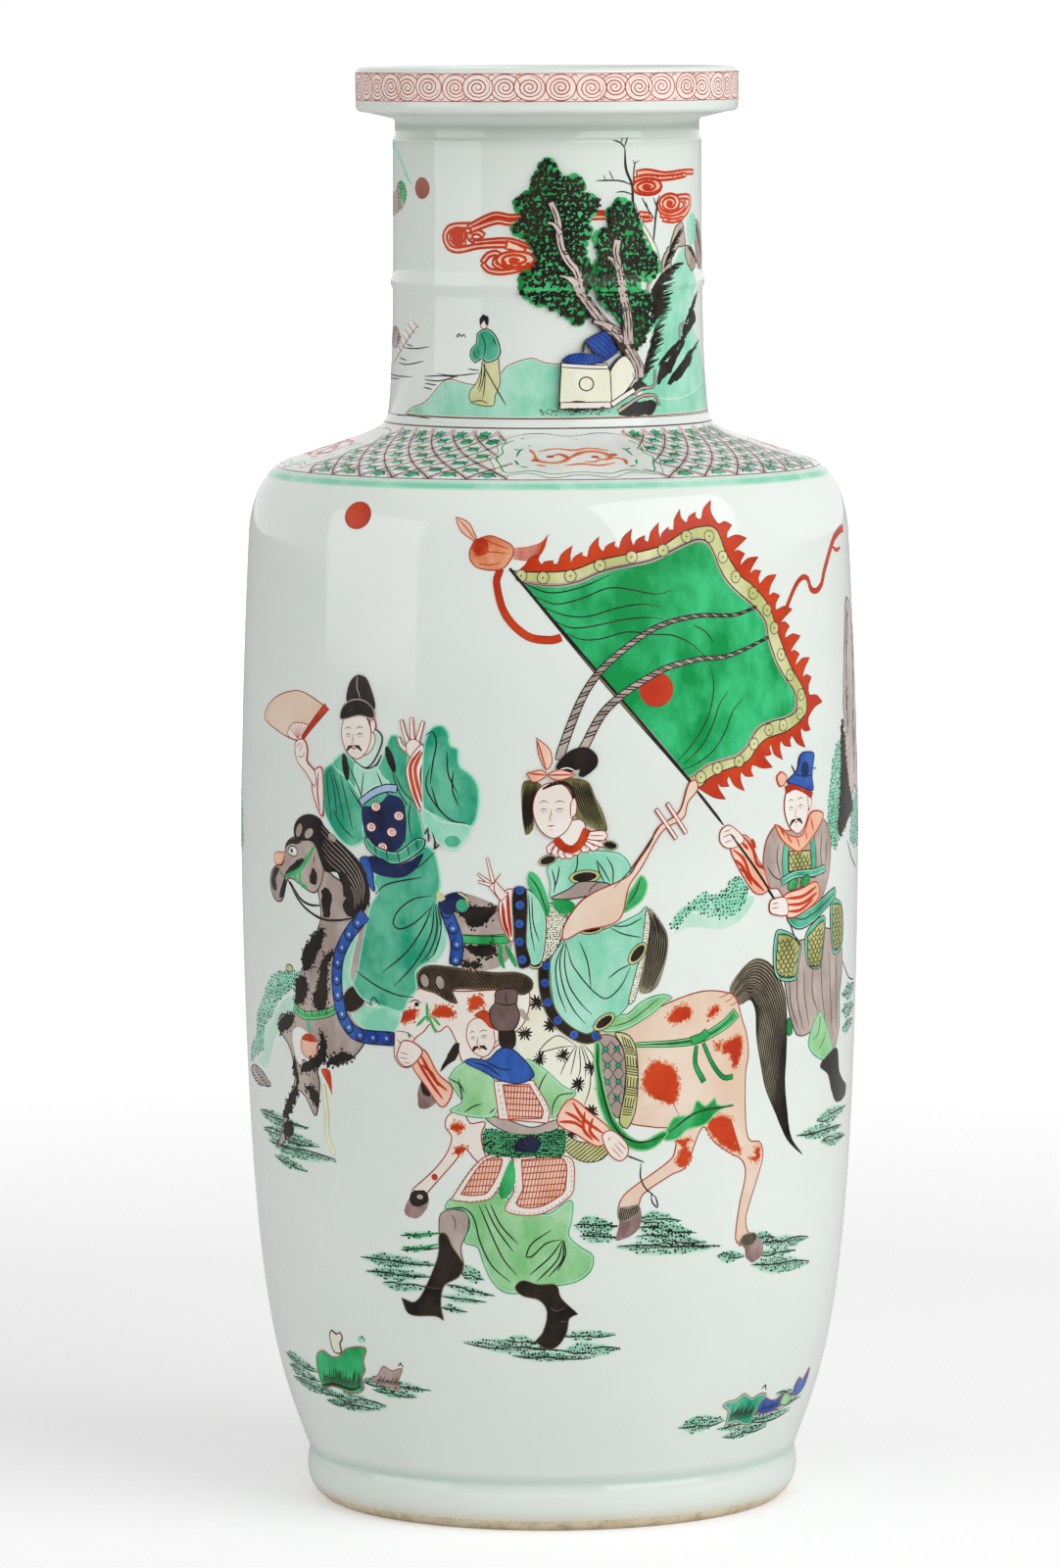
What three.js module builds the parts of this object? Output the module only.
// A tall porcelain vase of rouleau form: straight neck with a raised rib, dished mouth, sloping
// shoulder, tall body and a low turned foot. It is thrown in seven sections that are luted together
// with slip, and each section and each ring of slip is its own solid.
// Millimetres, +Z up, standing on Z = 0, with the axis of the wheel on Z.
import * as THREE from 'three';

// Rises, one above the other, from the floor that the vase stands on
const footRise = 15.5;
const lowerBodyRise = 189.5;
const upperBodyRise = 107;
const shoulderTurnRise = 22.2;
const shoulderSlopeRise = 10.8;
const neckRootRise = 4.5;
const neckRise = 94;
const mouthRise = 16.5;

// Radii of the outside
const footFlatRadius = 74;
const footBulgeRadius = 79.3;
const waistRadius = 78.3;
const bellyRadius = 99.3;
const shoulderDraw = 3.1;
const shoulderRadius = bellyRadius - shoulderDraw;
const slopeDraw = 11.3;
const slopeRadius = shoulderRadius - slopeDraw;
const neckRadius = 49.4;
const neckRootFlare = 2;
const neckRootRadius = neckRadius + neckRootFlare;
const mouthRadius = 61.2;

// Walls and the turned foot
const bodyWall = 7;
const neckWall = 5.5;
const floorThickness = 9;
const floorFillet = 11;
const footRingWidth = 4;
const footRecessDepth = 8.5;
const footRecessDraft = 2.6;
const bareFootHeight = 3.5;
const bareFootFlare = 3.3;

// The rib round the neck and the dished mouth
const ribHeightOnNeck = 42;
const ribWidth = 5;
const ribProud = 0.9;
const mouthUndersideRise = 2.2;
const mouthEdgeRound = 1.6;
const lipWidth = 3.4;
const dishDepth = 12.5;
const dishRadiusLoss = 8.4;
const mouthCollarHeight = 6.5;
const mouthCollarProud = 0.7;

// Slip between two sections, with the bead that it leaves inside
const luteThickness = 1.2;
const luteRecess = 0.35;
const luteBead = 1.3;

// Where the sections meet, above the named level below each
const footJointAboveWaist = 8.5;
const bodyJointBelowBelly = 27;
const shoulderJointBelowTurn = 6;

const turnSteps = 48;
const outlineSteps = 40;

const waistZ = footRise;
const bellyZ = waistZ + lowerBodyRise;
const turnZ = bellyZ + upperBodyRise;
const slopeZ = turnZ + shoulderTurnRise;
const rootZ = slopeZ + shoulderSlopeRise;
const neckZ = rootZ + neckRootRise;
const mouthZ = neckZ + neckRise;
const topZ = mouthZ + mouthRise;
const ribZ = neckZ + ribHeightOnNeck;

const point = (radius, height) => new THREE.Vector2(radius, height);

function curvePoints(start, startPull, endPull, end) {
  return new THREE.CubicBezierCurve(start, startPull, endPull, end).getPoints(outlineSteps);
}

// The outside from the waist above the foot to the underside of the mouth, bottom to top
function outsideLine() {
  const belly = point(bellyRadius, bellyZ);
  const turn = point(shoulderRadius, turnZ);
  const slope = point(slopeRadius, slopeZ);
  const root = point(neckRootRadius + 3, rootZ);
  const neckFoot = point(neckRootRadius, neckZ);
  const neckEnd = point(neckRadius, mouthZ);
  const lowerBody = curvePoints(
    point(waistRadius, waistZ),
    point(waistRadius + 0.52 * (bellyRadius - waistRadius), waistZ + 0.153 * lowerBodyRise),
    point(bellyRadius - 2, bellyZ - 0.76 * lowerBodyRise),
    belly,
  );
  const upperBody = curvePoints(
    belly,
    point(bellyRadius, bellyZ + 0.37 * upperBodyRise),
    point(shoulderRadius + 0.45 * (bellyRadius - shoulderRadius), turnZ - 0.25 * upperBodyRise),
    turn,
  );
  const shoulderTurn = curvePoints(
    turn,
    point(shoulderRadius - 0.8, turnZ + 0.45 * shoulderTurnRise),
    point(slopeRadius + 0.62 * (shoulderRadius - slopeRadius), slopeZ - 0.16 * shoulderTurnRise),
    slope,
  );
  const shoulderSlope = curvePoints(
    slope,
    point(slopeRadius - 9, slopeZ + 0.3 * shoulderSlopeRise),
    point(root.x + 8, rootZ - 0.36 * shoulderSlopeRise),
    root,
  );
  const neckRoot = curvePoints(
    root,
    point(root.x - 1.6, rootZ + 0.3 * neckRootRise),
    point(neckRootRadius + 0.4, neckZ - 0.4 * neckRootRise),
    neckFoot,
  );
  const neck = curvePoints(
    neckFoot,
    point(neckRadius, neckZ + 0.16 * neckRise),
    point(neckRadius, mouthZ - 0.5 * neckRise),
    neckEnd,
  );
  const line = [lowerBody, upperBody, shoulderTurn, shoulderSlope, neckRoot, neck];
  return line.flatMap((stretch, index) => (index === 0 ? stretch : stretch.slice(1)));
}

function wallAt(height) {
  const share = THREE.MathUtils.smoothstep(height, turnZ, neckZ);
  return THREE.MathUtils.lerp(bodyWall, neckWall, share);
}

// The inside follows the outside at the wall's thickness, measured square to the wall
function insideLine(outside) {
  return outside.map((spot, index) => {
    const before = outside[Math.max(index - 1, 0)];
    const after = outside[Math.min(index + 1, outside.length - 1)];
    const along = after.clone().sub(before).normalize();
    const inward = point(-along.y, along.x);
    return spot.clone().addScaledVector(inward, wallAt(spot.y));
  });
}

function radiusAt(line, height) {
  const above = line.findIndex((spot) => spot.y >= height);
  if (above <= 0) {
    return above === 0 ? line[0].x : line[line.length - 1].x;
  }
  const high = line[above];
  const low = line[above - 1];
  return THREE.MathUtils.mapLinear(height, low.y, high.y, low.x, high.x);
}

// Points at equal distances along a line between two heights, both ends included
function stretchOf(line, lowZ, highZ, steps) {
  const cut = [
    point(radiusAt(line, lowZ), lowZ),
    ...line.filter((spot) => spot.y > lowZ && spot.y < highZ),
    point(radiusAt(line, highZ), highZ),
  ];
  const lengths = [0];
  for (let index = 1; index < cut.length; index += 1) {
    lengths.push(lengths[index - 1] + cut[index].distanceTo(cut[index - 1]));
  }
  const total = lengths[lengths.length - 1];
  const picked = [];
  for (let step = 0; step <= steps; step += 1) {
    const wanted = (total * step) / steps;
    const found = lengths.findIndex((length) => length >= wanted - 1e-9);
    const last = Math.max(found, 1);
    const share = (wanted - lengths[last - 1]) / (lengths[last] - lengths[last - 1]);
    picked.push(cut[last - 1].clone().lerp(cut[last], share));
  }
  return picked;
}

const outside = outsideLine();
const inside = insideLine(outside);

const glaze = new THREE.MeshStandardMaterial({ color: 0xdde6e1, roughness: 0.12, metalness: 0 });
const slip = new THREE.MeshStandardMaterial({ color: 0xd9cfba, roughness: 0.8, metalness: 0 });

// A closed profile turned once round the wheel's axis
function turned(name, profile, material) {
  const geometry = new THREE.LatheGeometry(profile, turnSteps);
  geometry.rotateX(Math.PI / 2);
  const mesh = new THREE.Mesh(geometry, material);
  mesh.name = name;
  return mesh;
}

function closed(profile) {
  return [...profile, profile[0].clone()];
}

function ringSection(name, lowZ, highZ, outerSteps, innerSteps) {
  const outer = stretchOf(outside, lowZ, highZ, outerSteps);
  const inner = stretchOf(inside, lowZ, highZ, innerSteps).reverse();
  return turned(name, closed([...outer, ...inner]), glaze);
}

// The floor, the turned foot ring under it and the start of the wall
function footSection(name, highZ) {
  const ringInner = footFlatRadius - footRingWidth;
  const recessRadius = ringInner - footRecessDraft;
  const bulge = new THREE.CubicBezierCurve(
    point(footFlatRadius + bareFootFlare, bareFootHeight),
    point(footBulgeRadius, bareFootHeight + 0.2 * (waistZ - bareFootHeight)),
    point(footBulgeRadius + 0.5, bareFootHeight + 0.65 * (waistZ - bareFootHeight)),
    point(waistRadius, waistZ),
  ).getPoints(5);
  const floorTop = footRecessDepth + floorThickness;
  const wallFoot = radiusAt(inside, floorTop + floorFillet);
  const fillet = new THREE.QuadraticBezierCurve(
    point(wallFoot, floorTop + floorFillet),
    point(wallFoot - 1.5, floorTop + 0.4),
    point(wallFoot - 1.4 * floorFillet, floorTop),
  ).getPoints(4);
  const innerTop = point(radiusAt(inside, highZ), highZ);
  const profile = [
    point(0, footRecessDepth),
    point(recessRadius - 3, footRecessDepth - 0.4),
    point(recessRadius, footRecessDepth - 2.6),
    point(ringInner, 0),
    point(footFlatRadius, 0),
    ...bulge,
    ...stretchOf(outside, waistZ, highZ, 3).slice(1),
    innerTop,
    ...fillet,
    point(0, floorTop - 0.6),
  ];
  return turned(name, profile, glaze);
}

// A neck section with the rib standing on its upper or lower end
function neckSection(name, lowZ, highZ, outerSteps) {
  const outer = stretchOf(outside, lowZ, highZ, outerSteps);
  const ribbed = (spot) => {
    const off = Math.abs(spot.y - ribZ) / (ribWidth / 2);
    const lift = off < 1 ? ribProud * (1 - off * off) : 0;
    return point(spot.x + lift, spot.y);
  };
  const ribSide = lowZ < ribZ && highZ < ribZ ? -1 : 1;
  const ribEdge = ribZ + (ribSide * ribWidth) / 2;
  const extra = [0.25, 0.62, 1].map((share) => {
    const height = THREE.MathUtils.lerp(ribSide < 0 ? highZ : lowZ, ribEdge, share);
    return point(radiusAt(outside, height), height);
  });
  const kept = outer.filter((spot, index) => {
    const end = index === 0 || index === outer.length - 1;
    return end || Math.abs(spot.y - ribZ) > ribWidth * 0.75;
  });
  const all = [...kept, ...extra].sort((first, second) => first.y - second.y).map(ribbed);
  const inner = stretchOf(inside, lowZ, highZ, 3).reverse();
  return turned(name, closed([...all, ...inner]), glaze);
}

// The top of the neck with its collar, the flat underside, the upright rim and the dish
function mouthSection(name, lowZ) {
  const bore = radiusAt(inside, lowZ);
  const neckOuter = radiusAt(outside, lowZ);
  const collarZ = mouthZ - mouthCollarHeight;
  const rimLowZ = mouthZ + mouthUndersideRise;
  const lipInner = mouthRadius - lipWidth;
  const edge = mouthEdgeRound;
  const profile = [
    point(neckOuter, lowZ),
    point(neckOuter, collarZ),
    point(neckOuter - mouthCollarProud, collarZ + 1.2),
    point(neckOuter - mouthCollarProud, mouthZ),
    point(mouthRadius - 2 * edge, rimLowZ - 0.2),
    point(mouthRadius - 0.45 * edge, rimLowZ + 0.25 * edge),
    point(mouthRadius, rimLowZ + edge),
    point(mouthRadius, topZ - edge),
    point(mouthRadius - 0.35 * edge, topZ - 0.35 * edge),
    point(mouthRadius - edge, topZ),
    point(lipInner + 0.4, topZ - 0.5),
    point(lipInner, topZ - edge),
    point(lipInner - 0.35 * dishRadiusLoss, topZ - 0.55 * dishDepth),
    point(lipInner - dishRadiusLoss, topZ - 0.86 * dishDepth),
    point(bore + 0.8, topZ - dishDepth - 1.5),
    point(bore, topZ - dishDepth - 4.5),
    point(bore, lowZ),
  ];
  return turned(name, closed(profile), glaze);
}

// Slip fills the joint from just under the glaze to a bead inside the wall
function luteRing(name, jointZ) {
  const lowZ = jointZ - luteThickness / 2;
  const highZ = jointZ + luteThickness / 2;
  const outerRadius = Math.min(radiusAt(outside, lowZ), radiusAt(outside, highZ)) - luteRecess;
  const profile = [
    point(outerRadius, lowZ),
    point(outerRadius, highZ),
    point(radiusAt(inside, highZ), highZ),
    point(radiusAt(inside, jointZ) - luteBead, jointZ),
    point(radiusAt(inside, lowZ), lowZ),
  ];
  return turned(name, closed(profile), slip);
}

const footJointZ = waistZ + footJointAboveWaist + floorFillet;
const bodyJointZ = bellyZ - bodyJointBelowBelly;
const shoulderJointZ = turnZ - shoulderJointBelowTurn;
const mouthJointZ = mouthZ - mouthCollarHeight - 2;
const halfLute = luteThickness / 2;

const vase = new THREE.Group();
vase.add(
  footSection('foot_section', footJointZ - halfLute),
  ringSection('lower_body', footJointZ + halfLute, bodyJointZ - halfLute, 8, 6),
  ringSection('upper_body', bodyJointZ + halfLute, shoulderJointZ - halfLute, 5, 4),
  ringSection('shoulder_section', shoulderJointZ + halfLute, neckZ - halfLute, 12, 9),
  neckSection('lower_neck', neckZ + halfLute, ribZ - halfLute, 6),
  neckSection('upper_neck', ribZ + halfLute, mouthJointZ - halfLute, 5),
  mouthSection('dished_mouth', mouthJointZ + halfLute),
  luteRing('foot_lute', footJointZ),
  luteRing('body_lute', bodyJointZ),
  luteRing('shoulder_lute', shoulderJointZ),
  luteRing('neck_root_lute', neckZ),
  luteRing('neck_rib_lute', ribZ),
  luteRing('mouth_lute', mouthJointZ),
);

export default vase;
